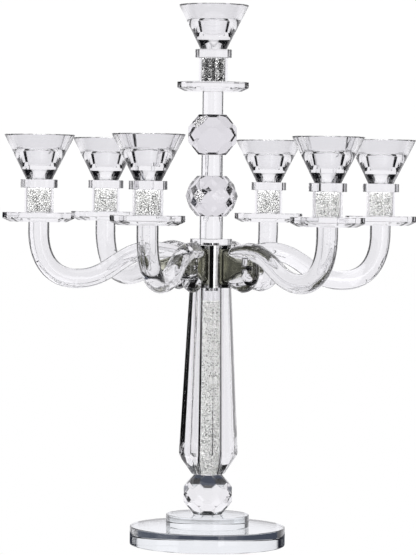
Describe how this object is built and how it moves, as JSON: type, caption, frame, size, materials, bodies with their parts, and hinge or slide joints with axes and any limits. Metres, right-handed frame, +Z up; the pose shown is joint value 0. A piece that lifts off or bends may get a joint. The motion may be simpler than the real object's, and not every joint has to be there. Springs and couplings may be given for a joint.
{
  "type": "candelabrum",
  "caption": "Cut crystal candelabrum menorah: radial arms and a tall middle light on a faceted stem with crushed crystal filling.",
  "frame": {"origin": "centre of the base disc's underside, on the column axis", "axes": "+Z up along the column, +X towards the first arm; the other arms follow every 60 degrees anticlockwise seen from above"},
  "size_m": [0.42, 0.3736, 0.5403],
  "materials": {
    "clear_crystal": "polished, clear and colourless, bright facet edges",
    "crushed_crystal": "loose crushed crystal grains, sparkling pale grey green",
    "chrome": "mirror polished, plated"
  },
  "bodies": {
    "stand": {"base_disc": "clear_crystal", "riser_disc": "clear_crystal", "foot_ball": "clear_crystal", "stem": "clear_crystal", "stem_plug": "clear_crystal", "stem_crystal_fill": "crushed_crystal"},
    "hub": {"hub": "chrome"},
    "column": {"neck_disc": "clear_crystal", "lower_neck_rod": "clear_crystal", "lower_neck_ball": "clear_crystal", "middle_neck_rod": "clear_crystal", "upper_neck_ball": "clear_crystal", "upper_neck_rod": "clear_crystal", "middle_drip_tray": "clear_crystal", "middle_tube": "clear_crystal", "middle_crystal_fill": "crushed_crystal", "middle_collar": "clear_crystal", "middle_cup": "clear_crystal"},
    "arm_1": {"arm_1_rod": "clear_crystal", "arm_1_bracket": "chrome", "arm_1_drip_tray": "clear_crystal", "arm_1_tube": "clear_crystal", "arm_1_crystal_fill": "crushed_crystal", "arm_1_collar": "clear_crystal", "arm_1_cup": "clear_crystal"},
    "arm_2": {"arm_2_rod": "clear_crystal", "arm_2_bracket": "chrome", "arm_2_drip_tray": "clear_crystal", "arm_2_tube": "clear_crystal", "arm_2_crystal_fill": "crushed_crystal", "arm_2_collar": "clear_crystal", "arm_2_cup": "clear_crystal"},
    "arm_3": {"arm_3_rod": "clear_crystal", "arm_3_bracket": "chrome", "arm_3_drip_tray": "clear_crystal", "arm_3_tube": "clear_crystal", "arm_3_crystal_fill": "crushed_crystal", "arm_3_collar": "clear_crystal", "arm_3_cup": "clear_crystal"},
    "arm_4": {"arm_4_rod": "clear_crystal", "arm_4_bracket": "chrome", "arm_4_drip_tray": "clear_crystal", "arm_4_tube": "clear_crystal", "arm_4_crystal_fill": "crushed_crystal", "arm_4_collar": "clear_crystal", "arm_4_cup": "clear_crystal"},
    "arm_5": {"arm_5_rod": "clear_crystal", "arm_5_bracket": "chrome", "arm_5_drip_tray": "clear_crystal", "arm_5_tube": "clear_crystal", "arm_5_crystal_fill": "crushed_crystal", "arm_5_collar": "clear_crystal", "arm_5_cup": "clear_crystal"},
    "arm_6": {"arm_6_rod": "clear_crystal", "arm_6_bracket": "chrome", "arm_6_drip_tray": "clear_crystal", "arm_6_tube": "clear_crystal", "arm_6_crystal_fill": "crushed_crystal", "arm_6_collar": "clear_crystal", "arm_6_cup": "clear_crystal"}
  },
  "joints": [
    {"name": "hub_turn", "type": "hinge", "parent": "stand", "child": "hub", "pos_m": [0, 0, 0.2583], "axis": [0, 0, 1], "continuous": true},
    {"name": "column_lift", "type": "slide", "parent": "hub", "child": "column", "axis": [0, 0, 1], "range_m": [0, 0.02]},
    {"name": "arm_1_pull", "type": "slide", "parent": "hub", "child": "arm_1", "axis": [1, 0, 0], "range_m": [0, 0.01]},
    {"name": "arm_2_pull", "type": "slide", "parent": "hub", "child": "arm_2", "axis": [0.5, 0.866, 0], "range_m": [0, 0.01]},
    {"name": "arm_3_pull", "type": "slide", "parent": "hub", "child": "arm_3", "axis": [-0.5, 0.866, 0], "range_m": [0, 0.01]},
    {"name": "arm_4_pull", "type": "slide", "parent": "hub", "child": "arm_4", "axis": [-1, 0, 0], "range_m": [0, 0.01]},
    {"name": "arm_5_pull", "type": "slide", "parent": "hub", "child": "arm_5", "axis": [-0.5, -0.866, 0], "range_m": [0, 0.01]},
    {"name": "arm_6_pull", "type": "slide", "parent": "hub", "child": "arm_6", "axis": [0.5, -0.866, 0], "range_m": [0, 0.01]}
  ]
}
